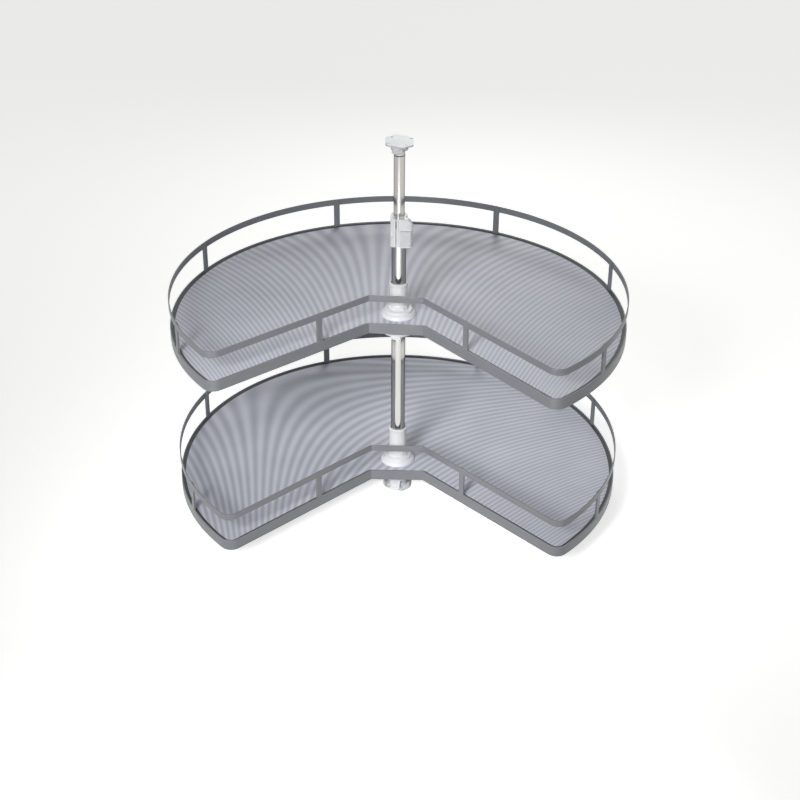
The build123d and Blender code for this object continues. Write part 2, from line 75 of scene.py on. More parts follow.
# Turns points about the pole by an angle in degrees.
def turned(points, angle):
    a = math.radians(angle)
    out = np.array(points, float)
    x, y = out[..., 0].copy(), out[..., 1].copy()
    out[..., 0] = x * math.cos(a) - y * math.sin(a)
    out[..., 1] = x * math.sin(a) + y * math.cos(a)
    return out


# A profile of radius and height turned about an upright axis: x is the radius times
# the cosine of the azimuth, and y the radius times its sine.
def turnedShape(profile, around=96):
    azimuth = np.linspace(0, 2 * math.pi, around, endpoint=False)[:, None]
    radius, height = profile[None, :, 0], profile[None, :, 1]
    return np.stack([radius * np.cos(azimuth), radius * np.sin(azimuth),
                     np.broadcast_to(height, (around, profile.shape[0]))], -1)


# The normals of a closed outline into the material on its left: a quarter turn left of
# the direction there, in which the shorter of a point's two edges counts for more.
# Outlines run anticlockwise, holes clockwise.
def inwardNormals(outline):
    ahead = np.roll(outline, -1, 0) - outline
    ahead /= (ahead ** 2).sum(1, keepdims=True)
    back = outline - np.roll(outline, 1, 0)
    back /= (back ** 2).sum(1, keepdims=True)
    run = ahead + back
    run /= np.linalg.norm(run, axis=1, keepdims=True)
    return np.stack([-run[:, 1], run[:, 0]], -1)


# A profile of inset and height carried along a closed outline: each point is the
# outline's point moved inwards by the inset, at the height.
def carried(outline, normals, profile):
    flat = outline[:, None, :] + normals[:, None, :] * profile[None, :, 0, None]
    height = np.broadcast_to(profile[None, :, 1, None], flat.shape[:2] + (1,))
    return np.concatenate([flat, height], -1)


# The rounded rim of a plate: up the outside from the bottom to the top, with both
# edges rounded, as inset and height.
def rim(bottom, top, radius, steps):
    line = [(radius + 0.1, bottom), (0, bottom), (0, top), (radius + 0.1, top)]
    return roundedLine(line, radius, closed=False, steps=steps)


# A grid of points as a surface of quads. It closes along its rows and columns where
# asked, and the first and last rows get one flat face each.
def gridShape(grid, closedRows=True, closedColumns=True, caps=False):
    rows, columns = grid.shape[:2]
    a = np.arange(rows if closedRows else rows - 1)[:, None]
    b = np.arange(columns if closedColumns else columns - 1)[None, :]
    nextA, nextB = (a + 1) % rows, (b + 1) % columns
    quads = np.stack([a * columns + b, a * columns + nextB, nextA * columns + nextB, nextA * columns + b], -1)
    faces = quads.reshape(-1, 4).tolist()
    if caps:
        faces += [list(range(columns)), list(range((rows - 1) * columns, rows * columns))]
    return grid.reshape(-1, 3), faces


# Fills what lies between closed lines: a Delaunay net that keeps every line, without the
# triangles whose middle has an even number of lines to its right.
def filled(loops):
    flat = np.concatenate(loops)
    firsts = np.cumsum([0] + [len(loop) for loop in loops])
    edges = [(int(first + i), int(first + (i + 1) % len(loop)))
             for first, loop in zip(firsts, loops) for i in range(len(loop))]
    net = delaunay_2d_cdt([Vector(point) for point in flat], edges, [], 0, 1e-7)
    triangles = np.array([[net[3][i][0] for i in face] for face in net[2]])
    middle = flat[triangles].mean(1)[:, None]
    inside = np.zeros(len(triangles), bool)
    for loop in loops:
        a, b = loop[None], np.roll(loop, -1, 0)[None]
        level = (a[..., 1] > middle[..., 1]) != (b[..., 1] > middle[..., 1])
        rise = np.where(level, b[..., 1] - a[..., 1], 1)
        cut = a[..., 0] + (middle[..., 1] - a[..., 1]) / rise * (b[..., 0] - a[..., 0])
        inside ^= (level & (middle[..., 0] < cut)).sum(1) % 2 == 1
    return triangles[inside]


# A plate with holes: each outline is carried up as a wall with rounded edges, and flat
# faces fill what lies between the outlines below and above.
def plateShape(outer, holes, low, high, edge, steps=4):
    points, faces, count = [], [], 0
    ends = ([], [])
    for loop in (outer, *holes):
        profile = rim(low, high, edge if loop is outer else 0.3, steps)
        grid = carried(loop, inwardNormals(loop), profile)
        own, quads = gridShape(grid, True, False)
        faces += (np.array(quads) + count).tolist()
        ends[0].append((grid[:, 0], count + np.arange(len(loop)) * len(profile)))
        ends[1].append((grid[:, -1], count + np.arange(len(loop)) * len(profile) + len(profile) - 1))
        points.append(own)
        count += len(own)
    for end in ends:
        index = np.concatenate([own for _, own in end])
        faces += index[filled([ring[:, :2] for ring, _ in end])].tolist()
    return np.concatenate(points), faces


# A closed outline's circle, anticlockwise, or clockwise where it is a hole.
def circle(x, y, radius, count, hole=False):
    angle = np.linspace(0, 2 * math.pi, count, endpoint=False) * (-1 if hole else 1)
    return np.stack([x + radius * np.cos(angle), y + radius * np.sin(angle)], -1)


# Four holes on a circle round the pole, the first at an angle in degrees.
def fourHoles(spread, radius, first):
    turns = np.radians(first + np.arange(4) * 90)
    return [circle(spread * math.cos(t), spread * math.sin(t), radius, 32, hole=True) for t in turns]


# Lays a shape that was drawn flat with its thickness up: u along one direction, v along
# another, and its height along the cross product of the two.
def laid(shape, origin, along, up):
    points, faces = shape
    axes = np.stack([along, up, np.cross(along, up)]).astype(float)
    return points @ axes + np.asarray(origin, float), faces


# One mesh of several shapes, each its points in millimetres and its faces. Points nearer
# than the weld are merged, and all faces are turned outwards.
def meshFromShapes(name, shapes, weld=0.0):
    points, faces, count = [], [], 0
    for own, ownFaces in shapes:
        faces += [[i + count for i in face] for face in ownFaces]
        points.append(own)
        count += len(own)
    mesh = bpy.data.meshes.new(name)
    mesh.from_pydata((np.concatenate(points) * mm).tolist(), [], faces)
    work = bmesh.new()
    work.from_mesh(mesh)
    if weld:
        bmesh.ops.remove_doubles(work, verts=work.verts, dist=weld * mm)
    bmesh.ops.recalc_face_normals(work, faces=work.faces)
    work.to_mesh(mesh)
    work.free()
    mesh.shade_smooth()
    return mesh


# Adds a finished piece to the scene: the body it moves with, the slot whose finish it takes,
# the parts that it takes the place of, and its own finish, where that isn't just the slot's.
def addPiece(name, shapes, body, slotName, instead=(), finish=None, weld=0.0):
    mesh = meshFromShapes(name, shapes, weld)
    mesh.materials.append(finish or slotFinish[slotName])
    piece = bpy.data.objects.new(name, mesh)
    bpy.context.scene.collection.objects.link(piece)
    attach(piece, body)
    if instead:
        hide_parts(*instead)
    return piece


# Found from the trays' and the pole's edges in the photograph: where it stands, its
# heading, how far it looks down and its roll in radians, and its focal length in pixels
camera = dict(
    place=(56.70, -2406.98, 1585.99), heading=-0.0220, down=0.5286, roll=0.0070,
    focal=1527.63, frameWidth=800, sensorWidth=36,
)


# The camera's three directions: ahead from its heading and its tilt, right level with the
# ground, and up across both, with the last two turned by the roll.
def addCamera():
    heading, down, roll = camera["heading"], camera["down"], camera["roll"]
    ahead = np.array([math.sin(heading) * math.cos(down), math.cos(heading) * math.cos(down), -math.sin(down)])
    right = np.array([math.cos(heading), -math.sin(heading), 0.0])
    up = np.cross(right, ahead)
    rightRolled = right * math.cos(roll) + up * math.sin(roll)
    upRolled = up * math.cos(roll) - right * math.sin(roll)
    data = bpy.data.cameras.new("photoView")
    data.sensor_width = camera["sensorWidth"]
    data.lens = camera["focal"] / camera["frameWidth"] * camera["sensorWidth"]
    data.clip_end = 60
    view = bpy.data.objects.new("photoView", data)
    place = Matrix(np.stack([rightRolled, upRolled, -ahead], -1).tolist()).to_4x4()
    place.translation = np.array(camera["place"]) * mm
    view.matrix_world = place
    bpy.context.scene.collection.objects.link(view)
    bpy.context.scene.camera = view


addCamera()
print("camera set")


# An sRGB hex colour as the linear values that a shader takes.
def toLinear(hexText):
    channels = [int(hexText[i:i + 2], 16) / 255 for i in (1, 3, 5)]
    return tuple(c / 12.92 if c <= 0.04045 else ((c + 0.055) / 1.055) ** 2.4 for c in channels) + (1.0,)


# Links sources into a node's inputs.
def joinTo(tree, node, links):
    for key, source in links.items():
        tree.links.new(source, node.inputs[key])


# Adds one node, with its settings and with links into its inputs.
def addNode(tree, kind, settings=None, links=None):
    node = tree.nodes.new(kind)
    for key, value in (settings or {}).items():
        if isinstance(key, str) and hasattr(node, key):
            setattr(node, key, value)
        else:
            node.inputs[key].default_value = value
    joinTo(tree, node, links or {})
    return node


# How many cells of a size in millimetres go into a metre, as a texture's Scale counts them.
def cells(size):
    return 1 / (size * mm)


# A new material with its node tree, its shader and the place on the object.
def newFinish(name):
    finish = bpy.data.materials.new(name)
    finish.use_nodes = True
    tree = finish.node_tree
    return finish, tree, tree.nodes["Principled BSDF"], addNode(tree, "ShaderNodeTexCoord").outputs["Object"]


# Powder-coated steel strip: pigment powder baked to a satin film, so the eye sees an
# even mid grey with a soft orange peel 2.4 mm across.
def powderCoat():
    finish, tree, shader, place = newFinish("powderCoatedSteel")
    peel = addNode(tree, "ShaderNodeTexNoise", {"Scale": cells(2.381), "Detail": 2.0, "Roughness": 0.45},
                   {"Vector": place})
    cloud = addNode(tree, "ShaderNodeTexNoise", {"Scale": cells(71.43), "Detail": 3.0}, {"Vector": place})
    colour = addNode(tree, "ShaderNodeMix", {"data_type": "RGBA", 6: toLinear("#777A7E"), 7: toLinear("#83858A")},
                     {0: cloud.outputs[0]})
    gloss = addNode(tree, "ShaderNodeMapRange", {"To Min": 0.3, "To Max": 0.4}, {"Value": cloud.outputs[0]})
    bump = addNode(tree, "ShaderNodeBump", {"Strength": 0.18, "Distance": 0.00006}, {"Height": peel.outputs[0]})
    joinTo(tree, shader, {"Base Color": colour.outputs[2], "Roughness": gloss.outputs[0], "Normal": bump.outputs[0]})
    shader.inputs["IOR"].default_value = 1.5
    return finish


# Embossed PVC film on the tray: calendered with parallel ribs 2.07 mm apart, which run
# 6.4 degrees off the tray's own front-to-back line. Its colour holds painted shade in the ribs' valleys and a
# painted highlight on their crests.
# Ribs as fine as these give the eye soft bands of sheen that fan out across the mat, painted here as a second, faint
# stripe: painted sheen.
ribs = dict(pitch=2.07, off=6.4, depth=0.12, shadedValley="#B1B4C0", litCrest="#CED1DB", ribShade=0.32, paintedSheen=0.58)
# Each mat's painted sheen bands: its turn about the pole in degrees, how far to its left the bands are counted
# from, where they are widest behind it, where they would close up in front, and a phase
sheenFans = {
    "lower": dict(turn=0.0, shift=262.3, widest=353.2, closed=3068.2, phase=131),
    "upper": dict(turn=-4.1, shift=37.7, widest=517.2, closed=2892.6, phase=-125),
}


# With c the number of ribs across to a point and y its place front to back, a rib is the
# cosine of c whole turns. A painted sheen band is that of c (y - widest) / (y + closed) whole turns.
# Both go into the colour: the band as painted sheen, the rib as painted shade in its valleys and a painted highlight
# on its crests.
def ribbedFilm(name, fan):
    finish, tree, shader, place = newFinish(name)
    alongRibs = (0, 0, math.radians(ribs["off"] + fan["turn"]))
    lined = addNode(tree, "ShaderNodeMapping", {"vector_type": "TEXTURE", "Rotation": alongRibs}, {"Vector": place})
    split = addNode(tree, "ShaderNodeSeparateXYZ", {}, {0: lined.outputs[0]})
    straight = addNode(tree, "ShaderNodeSeparateXYZ", {}, {0: place})
    drift = addNode(tree, "ShaderNodeTexNoise", {"Scale": cells(111.1), "Detail": 2.0}, {"Vector": place})

    value = {"x": split.outputs[0], "y": straight.outputs[1], "drift": drift.outputs[0]}
    steps = (
        ("across", "ADD", "x", fan["shift"] * mm),
        ("count", "MULTIPLY", "across", cells(ribs["pitch"])),
        ("behind", "SUBTRACT", "y", fan["widest"] * mm),
        ("ahead", "ADD", "y", fan["closed"] * mm),
        ("spread", "DIVIDE", "behind", "ahead"),
        ("fanned", "MULTIPLY", "count", "spread"),
        ("sheenBandAngle", "MULTIPLY_ADD", "fanned", 2 * math.pi, math.radians(fan["phase"])),
        ("band", "COSINE", "sheenBandAngle"),
        ("ribAngle", "MULTIPLY", "count", 2 * math.pi),
        ("rib", "COSINE", "ribAngle"),
        ("paintedSheenTone", "MULTIPLY", "band", ribs["paintedSheen"]),
        ("tone", "MULTIPLY_ADD", "rib", ribs["ribShade"], "paintedSheenTone"),
        ("share", "ADD", "tone", "drift"),
    )
    for result, operation, *given in steps:
        fixed = {i: own for i, own in enumerate(given) if not isinstance(own, str)}
        linked = {i: value[own] for i, own in enumerate(given) if isinstance(own, str)}
        value[result] = addNode(tree, "ShaderNodeMath", {"operation": operation, **fixed}, linked).outputs[0]
    # the valley colour is painted shade and the crest colour a painted highlight along each rib
    shadedValley, litCrest = toLinear(ribs["shadedValley"]), toLinear(ribs["litCrest"])
    colour = addNode(tree, "ShaderNodeMix", {"data_type": "RGBA", "clamp_factor": False, 6: shadedValley, 7: litCrest},
                     {0: value["share"]})
    bump = addNode(tree, "ShaderNodeBump", {"Strength": 0.5, "Distance": ribs["depth"] * mm},
                   {"Height": value["rib"]})
    joinTo(tree, shader, {"Base Color": colour.outputs[2], "Normal": bump.outputs[0]})
    shader.inputs["Roughness"].default_value = 0.5
    shader.inputs["IOR"].default_value = 1.52
    return finish


# Melamine-faced chipboard: paper soaked in resin and pressed against a pebbled plate,
# pale grey with a pebble 1.4 mm across.
def melamineBoard():
    finish, tree, shader, place = newFinish("melamineFacedBoard")
    pebble = addNode(tree, "ShaderNodeTexVoronoi", {"Scale": cells(1.4286)}, {"Vector": place})
    cloud = addNode(tree, "ShaderNodeTexNoise", {"Scale": cells(25), "Detail": 6.0}, {"Vector": place})
    colour = addNode(tree, "ShaderNodeMix", {"data_type": "RGBA", 6: toLinear("#C3C4C7"), 7: toLinear("#D2D3D5")},
                     {0: cloud.outputs[0]})
    bump = addNode(tree, "ShaderNodeBump", {"Strength": 0.25, "Distance": 0.00005}, {"Height": pebble.outputs[0]})
    joinTo(tree, shader, {"Base Color": colour.outputs[2], "Normal": bump.outputs[0]})
    shader.inputs["Roughness"].default_value = 0.5
    return finish


# Injection-moulded plastic: satin from a spark-eroded mould, with a faint flow mottle
# and a spark grain of 0.4 mm.
def mouldedPlastic(name, dark, light, roughness):
    finish, tree, shader, place = newFinish(name)
    flow = addNode(tree, "ShaderNodeTexNoise", {"Scale": cells(28.57), "Detail": 2.0}, {"Vector": place})
    spark = addNode(tree, "ShaderNodeTexNoise", {"Scale": cells(0.3846), "Detail": 1.0}, {"Vector": place})
    colour = addNode(tree, "ShaderNodeMix", {"data_type": "RGBA", 6: toLinear(dark), 7: toLinear(light)},
                     {0: flow.outputs[0]})
    gloss = addNode(tree, "ShaderNodeMapRange", {"To Min": roughness - 0.05, "To Max": roughness + 0.05},
                    {"Value": flow.outputs[0]})
    bump = addNode(tree, "ShaderNodeBump", {"Strength": 0.12, "Distance": 0.00003}, {"Height": spark.outputs[0]})
    joinTo(tree, shader, {"Base Color": colour.outputs[2], "Roughness": gloss.outputs[0], "Normal": bump.outputs[0]})
    return finish


# Chrome plate on drawn steel tube: mirror bright, with faint lines along the tube that
# the drawing and polishing leave, 1.1 mm apart and 167 mm long.
def chromePlate():
    finish, tree, shader, place = newFinish("chromePlatedTube")
    drawn = addNode(tree, "ShaderNodeMapping", {"Scale": (cells(1.1111), cells(1.1111), cells(166.67))},
                    {"Vector": place})
    lines = addNode(tree, "ShaderNodeTexNoise", {"Scale": 1.0, "Detail": 3.0}, {"Vector": drawn.outputs[0]})
    gloss = addNode(tree, "ShaderNodeMapRange", {"To Min": 0.04, "To Max": 0.13}, {"Value": lines.outputs[0]})
    colour = addNode(tree, "ShaderNodeMix", {"data_type": "RGBA", 6: toLinear("#BEBDBA"), 7: toLinear("#C9C8C5")},
                     {0: lines.outputs[0]})
    joinTo(tree, shader, {"Base Color": colour.outputs[2], "Roughness": gloss.outputs[0]})
    shader.inputs["Metallic"].default_value = 1.0
    # chrome plate this thin looks darker where it is seen along its surface
    shader.inputs["Specular Tint"].default_value = toLinear("#77706A")
    return finish


# Bright zinc plate: electroplated, greyer and softer than chrome, with a mottle 3.8 mm
# across from the passivation.
def zincPlate():
    finish, tree, shader, place = newFinish("brightZincPlate")
    mottle = addNode(tree, "ShaderNodeTexNoise", {"Scale": cells(3.8462), "Detail": 4.0}, {"Vector": place})
    colour = addNode(tree, "ShaderNodeMix", {"data_type": "RGBA", 6: toLinear("#A6A8AC"), 7: toLinear("#C2C2BF")},
                     {0: mottle.outputs[0]})
    gloss = addNode(tree, "ShaderNodeMapRange", {"To Min": 0.24, "To Max": 0.4}, {"Value": mottle.outputs[0]})
    joinTo(tree, shader, {"Base Color": colour.outputs[2], "Roughness": gloss.outputs[0]})
    shader.inputs["Metallic"].default_value = 1.0
    return finish


matFinish = {name: ribbedFilm("ribbedFilm" + name.capitalize(), fan) for name, fan in sheenFans.items()}
leverFinish = mouldedPlastic("mouldedAbsLever", "#CFD2D5", "#D9DCDF", 0.4)
# a dark strip that stands for the shade in the gap between mat and band: painted shade
gapShadeFinish = mouldedPlastic("extrudedPvcSeal", "#34363A", "#404246", 0.55)
slotFinish = {
    "powder_steel": powderCoat(), "ribbed_mat": matFinish["lower"], "melamine_board": melamineBoard(),
    "white_abs": mouldedPlastic("mouldedAbs", "#DDDFE2", "#E9EBED", 0.34),
    "acetal": mouldedPlastic("mouldedAcetal", "#D9D9D4", "#E4E4E0", 0.42),
    "chromed_steel": chromePlate(), "zinc_screw": zincPlate(),
    "black_ring": mouldedPlastic("mouldedRubber", "#17181A", "#202123", 0.6),
}
for part in frame["record"]["subparts"]:
    node = frame["nodes"][part["node"]]
    node.data.materials.clear()
    node.data.materials.append(slotFinish[part["material_slot"]])
print("finishes made")


tray = dict(
    radius=400, frontAngle=44.25, frontOffset=-1.2, bridgeDepth=46.8, cornerRadius=20, bendRadius=4,
    board=16, mat=1.2, matInset=8, strip=2, bandHeight=20, railGap=42, railHeight=12, edgeRound=0.7,
    postWidth=11.4, postGap=0.04, postSunk=0.8, weldFlare=2.2, postTab=1.5, tabFoot=0.2, tabDrop=1.0,
    backPosts=(23.2, 69.6, 117.0), spigotHole=22, screwCircle=26, screwHole=2.3, boardGap=0.02, boardLift=0.05,
    gapShade=((2.05, 0.02), (2.05, 1.5), (4.0, 0.8), (7.8, 0.5), (7.8, 0.02)),
)
trays = {
    "lower": dict(bottom=36.4, turn=0.0, frontPosts=(192.8, 166.0), neck=71.0),
    "upper": dict(bottom=339.2, turn=-3.9, frontPosts=(173.8, 176.5), neck=63.5),
}


# The tray's outline from above, anticlockwise from the middle of the bridge: straight
# runs and arcs end to end, each arc's points at its centre plus its radius times the
# cosine and sine of an angle. It gives the points and the inward normals.
def trayOutline():
    half = math.radians(tray["frontAngle"])
    along, out = np.array([math.sin(half), -math.cos(half)]), np.array([math.cos(half), math.sin(half)])
    bendX = tray["bridgeDepth"] * math.tan(half) - tray["frontOffset"] / math.cos(half)
    bendX -= tray["bendRadius"] * math.tan((math.pi / 2 - half) / 2)
    bend = np.array([bendX, -tray["bridgeDepth"] - tray["bendRadius"]])
    cornerOut = tray["cornerRadius"] - tray["frontOffset"]
    reach = tray["radius"] - tray["cornerRadius"]
    cornerAlong = math.sqrt(reach ** 2 - cornerOut ** 2)
    corner = along * cornerAlong + out * cornerOut
    rise = math.degrees(math.atan2(corner[1], corner[0]))
    mirror = np.array([-1, 1])

    def arc(centre, radius, first, last, count, sign):
        angle = np.radians(np.linspace(first, last, count))
        ray = np.stack([np.cos(angle), np.sin(angle)], -1)
        return np.asarray(centre) + radius * ray, sign * ray

    rightBend = arc(bend, tray["bendRadius"], 90, tray["frontAngle"], 8, 1)
    rightCorner = arc(corner, tray["cornerRadius"], tray["frontAngle"] - 180, rise, 24, -1)
    sweep = arc((0, 0), tray["radius"], rise + 0.75, 179.25 - rise, 176, -1)
    leftCorner = (rightCorner[0][::-1] * mirror, rightCorner[1][::-1] * mirror)
    leftBend = (rightBend[0][::-1] * mirror, rightBend[1][::-1] * mirror)
    # a straight run's own points lie evenly between the arcs that it joins
    t = np.linspace(0, 1, 12)[1:-1, None]
    rightRun = rightBend[0][-1] * (1 - t) + rightCorner[0][0] * t
    leftRun = leftCorner[0][-1] * (1 - t) + leftBend[0][0] * t
    inner = np.tile(out, (len(t), 1))
    stretches = [rightBend, (rightRun, inner), rightCorner, sweep, leftCorner, (leftRun, inner * mirror), leftBend]
    return [np.concatenate(own) for own in zip(*stretches)]


# Where the posts stand, as a point on the outline and its inward normal for each: one a
# distance along each front edge, and the others on the round side at their azimuths.
def postPlaces(left, right):
    half = math.radians(tray["frontAngle"])
    sine, cosine = math.sin(half), math.cos(half)
    off = tray["frontOffset"]
    front = [(side * (along * sine - off * cosine), -along * cosine - off * sine)
             for side, along in ((-1, left), (1, right))]
    azimuth = np.radians(90 + np.outer(tray["backPosts"], (-1, 1)).ravel())
    ray = np.stack([np.cos(azimuth), np.sin(azimuth)], -1)
    points = np.concatenate([np.array(front), tray["radius"] * ray])
    normals = np.concatenate([np.array([(-cosine, sine), (cosine, sine)]), -ray])
    return points, normals


# Upright flat bars, one for each place: a rounded rectangle of width and thickness at
# each height. The width grows near both ends as a quarter circle, as a weld's fillet.
def uprightBars(points, normals, width, inset, thickness, bottom, top, flare, edge):
    corner = [(-0.5, 0), (0.5, 0), (0.5, 1), (-0.5, 1)]
    loop = roundedLine(np.array(corner) * (width, thickness), edge, steps=4)
    ends = np.concatenate([np.linspace(0, flare, 7), np.linspace(flare, 2 * flare, 2)[1:]])
    height = np.concatenate([bottom + ends, top - ends[::-1]])
    fromEnd = np.minimum(height - bottom, top - height)
    grow = flare - np.sqrt(np.clip(flare ** 2 - (flare - np.clip(fromEnd, 0, flare)) ** 2, 0, None))
    side = loop[None, :, 0] + np.sign(loop[None, :, 0]) * grow[:, None]
    tangent = np.stack([-normals[:, 1], normals[:, 0]], -1)
    deep = inset + loop[:, 1]
    flat = (points[:, None, None, :] + tangent[:, None, None, :] * side[None, :, :, None]
            + normals[:, None, None, :] * deep[None, None, :, None])
    tall = np.broadcast_to(height[None, :, None, None], flat.shape[:3] + (1,))
    return [gridShape(bar, False, True, True) for bar in np.concatenate([flat, tall], -1)]


outline, outlineIn = trayOutline()
for name, own in trays.items():
    bottom, turn = own["bottom"], own["turn"]
    boardTop = bottom + tray["board"]
    bandTop = bottom + tray["bandHeight"]
    railBottom = bandTop + tray["railGap"]
    railTop = railBottom + tray["railHeight"]
    points, normals = turned(outline, turn), turned(outlineIn, turn)
    body = name + "_tray"

    for label, low, high in (("Band", bottom, bandTop), ("Rail", railBottom, railTop)):
        corners = [(0, low), (0, high), (tray["strip"], high), (tray["strip"], low)]
        strip = roundedLine(corners, tray["edgeRound"], steps=5)
        addPiece(name + label, [gridShape(carried(points, normals, strip))], body, "powder_steel",
                 [name + "_" + label.lower()])

    spots, spotsIn = postPlaces(*own["frontPosts"])
    spots, spotsIn = turned(spots, turn), turned(spotsIn, turn)
    wide, thick, gap = tray["postWidth"], tray["strip"], tray["postGap"]
    bars = uprightBars(spots, spotsIn, wide, gap, thick - 2 * gap, bandTop - tray["postSunk"],
                       railBottom + tray["postSunk"], tray["weldFlare"], 0.5)
    tabs = uprightBars(spots, spotsIn, wide, thick - gap / 2, tray["postTab"], boardTop + tray["tabFoot"],
                       railTop - tray["tabDrop"], 0.01, 0.4)
    addPiece(name + "Posts", bars + tabs, body, "powder_steel", [name + "_posts"])

    holes = [circle(0, 0, tray["spigotHole"], 96, hole=True)]
    holes += fourHoles(tray["screwCircle"], tray["screwHole"], turn)
    boardEdge = points + normals * (tray["strip"] + tray["boardGap"])
    addPiece(name + "Board", [plateShape(boardEdge, holes, bottom + tray["boardLift"], boardTop, 0.3)], body,
             "melamine_board", [name + "_board"])
    matEdge = points + normals * tray["matInset"]
    addPiece(name + "Mat", [plateShape(matEdge, holes, boardTop, boardTop + tray["mat"], 0.45)], body,
             "ribbed_mat", [name + "_mat"], matFinish[name])

    # a dark strip in the gap between the mat and the band: painted shade, where that gap lies in shadow
    gapShade = roundedLine(np.array(tray["gapShade"]) + (0, boardTop), 0.2, steps=3)
    addPiece(name + "Seal", [gridShape(carried(points, normals, gapShade))], body, "black_ring", finish=gapShadeFinish)
print("trays made")


hub = dict(
    flange=31.0, flangeEdge=2.4, cone=(28.9, 6.1), ledge=24.5, ledgeFoot=8.6, ledgeTop=12.1,
    foot=17.3, footBottom=13.8, footTop=20.8, neck=15.9, neckFoot=22.6, rim=16.7, rimDrop=4.2,
    lip=1.2, bore=12.95, bushDrop=4.0, bush=14.0, spigot=21.8,
    ribCount=12, ribWidth=2.2, ribReach=0.8, ribBottom=13.0, ribTop=19.9,
    ring=33.0, ringDepth=7.0, ringFloor=4.0, ringWall=3.6, washer=22.0, ringBore=13.4,
)


# The hub above and through the board, a rounded profile turned about the pole: flange,
# rounded cone, upright ledge, foot, neck and flared rim.
def hubShape(matTop, bottom, neck):
    top = matTop + neck
    line = [
        (hub["bush"], bottom + 0.2, 0.2), (hub["spigot"], bottom + 0.2, 0.3), (hub["spigot"], matTop, 0.1),
        (hub["flange"], matTop, 0.3), (hub["flange"], matTop + hub["flangeEdge"], 1.0),
        (hub["cone"][0], matTop + hub["cone"][1], 2.6), (hub["ledge"] + 0.3, matTop + hub["ledgeFoot"], 0.4),
        (hub["ledge"], matTop + hub["ledgeTop"], 1.1), (hub["foot"], matTop + hub["footBottom"], 0.7),
        (hub["foot"], matTop + hub["footTop"], 0.7), (hub["neck"], matTop + hub["neckFoot"], 0.9),
        (hub["neck"], top - hub["rimDrop"] - 2.2, 1.4), (hub["rim"], top - hub["rimDrop"], 1.4),
        (hub["rim"], top - hub["lip"], 1.1), (hub["bore"] + hub["lip"], top, 0.9),
        (hub["bore"], top - hub["lip"], 0.6), (hub["bore"], top - hub["bushDrop"], 0.1),
        (hub["bush"], top - hub["bushDrop"], 0.1),
    ]
    line = np.array(line)
    return gridShape(turnedShape(roundedLine(line[:, :2], line[:, 2], steps=6), 160))


# The clamping ring under the board, a rounded profile turned about the pole with a channel
# for the screws' heads.
def hubRing(bottom):
    low, mid = bottom - hub["ringDepth"], bottom - hub["ringFloor"]
    outer, wall, washer = hub["ring"], hub["ring"] - hub["ringWall"], hub["washer"] + 0.6
    line = np.array([
        (hub["ringBore"], bottom, 0.2), (outer, bottom, 0.3), (outer, low + 1.0, 1.0), (outer - 1.6, low, 0.8),
        (wall, low, 0.5), (wall, mid, 0.4), (washer, mid, 0.4), (washer, low, 0.5), (hub["ringBore"], low, 0.4),
    ])
    return gridShape(turnedShape(roundedLine(line[:, :2], line[:, 2], steps=4), 160))


for name, own in trays.items():
    matTop = own["bottom"] + tray["board"] + tray["mat"]
    # the ribs are their own shells that stand out of the foot
    angle = np.radians(np.arange(hub["ribCount"]) * 360 / hub["ribCount"] + own["turn"])
    ray = np.stack([np.cos(angle), np.sin(angle)], -1)
    hubRibs = uprightBars(ray * (hub["foot"] + hub["ribReach"]), -ray, hub["ribWidth"], 0, hub["ribReach"] + 0.8,
                          matTop + hub["ribBottom"], matTop + hub["ribTop"], 0.02, 0.35)
    addPiece(name + "Hub", [hubShape(matTop, own["bottom"], own["neck"])] + hubRibs, name + "_tray",
             "white_abs", [name + "_hub"])
    addPiece(name + "HubRing", [hubRing(own["bottom"])], name + "_tray", "white_abs", [name + "_hub_ring"])
print("hubs made")


collar = dict(flange=30.0, flangeTop=10.0, flangeThick=5.0, depth=23.4, radius=16.5, flare=3.0, bore=12.6,
              bossWidth=17.5, bossReach=24.0, bossFrom=13.5, bossAngle=-99.0)


# The directions out through the bosses and along their faces.
def outAndAlong():
    a = math.radians(collar["bossAngle"])
    return np.array([math.cos(a), math.sin(a), 0]), np.array([-math.sin(a), math.cos(a), 0])


# A square boss: a rounded rectangle from inside the collar's wall out to its face.
def squareBoss(low, high):
    w = collar["bossWidth"] / 2
    face = roundedLine([(-w, low), (w, low), (w, high), (-w, high)], 1.2, steps=5)
    boss = plateShape(face, [], collar["bossFrom"], collar["bossReach"], 1.0)
    return laid(boss, (0, 0, 0), outAndAlong()[1], (0, 0, 1))


for name, own in trays.items():
    top = own["bottom"] - collar["flangeTop"]
    under = top - collar["flangeThick"]
    low = own["bottom"] - collar["depth"]
    line = np.array([
        (collar["bore"], low, 0.4), (collar["radius"], low, 0.9), (collar["radius"], under - collar["flare"], 1.2),
        (collar["radius"] + collar["flare"], under, 1.0), (collar["flange"], under, 1.4),
        (collar["flange"], top, 1.0), (collar["bore"], top, 0.4),
    ])
    body = gridShape(turnedShape(roundedLine(line[:, :2], line[:, 2], steps=5), 160))
    addPiece(name + "Collar", [body, squareBoss(low, under + 0.5)], name + "_carrier", "white_abs",
             [name + "_collar"])
print("collars made")


bracket = dict(
    corners=((-23.0, -18.0), (7.0, -32.0), (23.5, -17.5)), cornerRadius=5.0,
    thick=3.0, web=1.3, rimWidth=1.7, rimFoot=0.6,
    holeCircle=23.0, hole=2.25, holeTurn=-57.0, socket=17.0, bore=12.52, socketTop=12.5,
    spigot=10.9, spigotBore=4.0, spigotBottom=2.0, spigotTop=27.0, groove=1.6, groovePlace=5.4,
    inner=678.0, topSocket=15.0, topBore=9.52, topDepth=14.0,
)


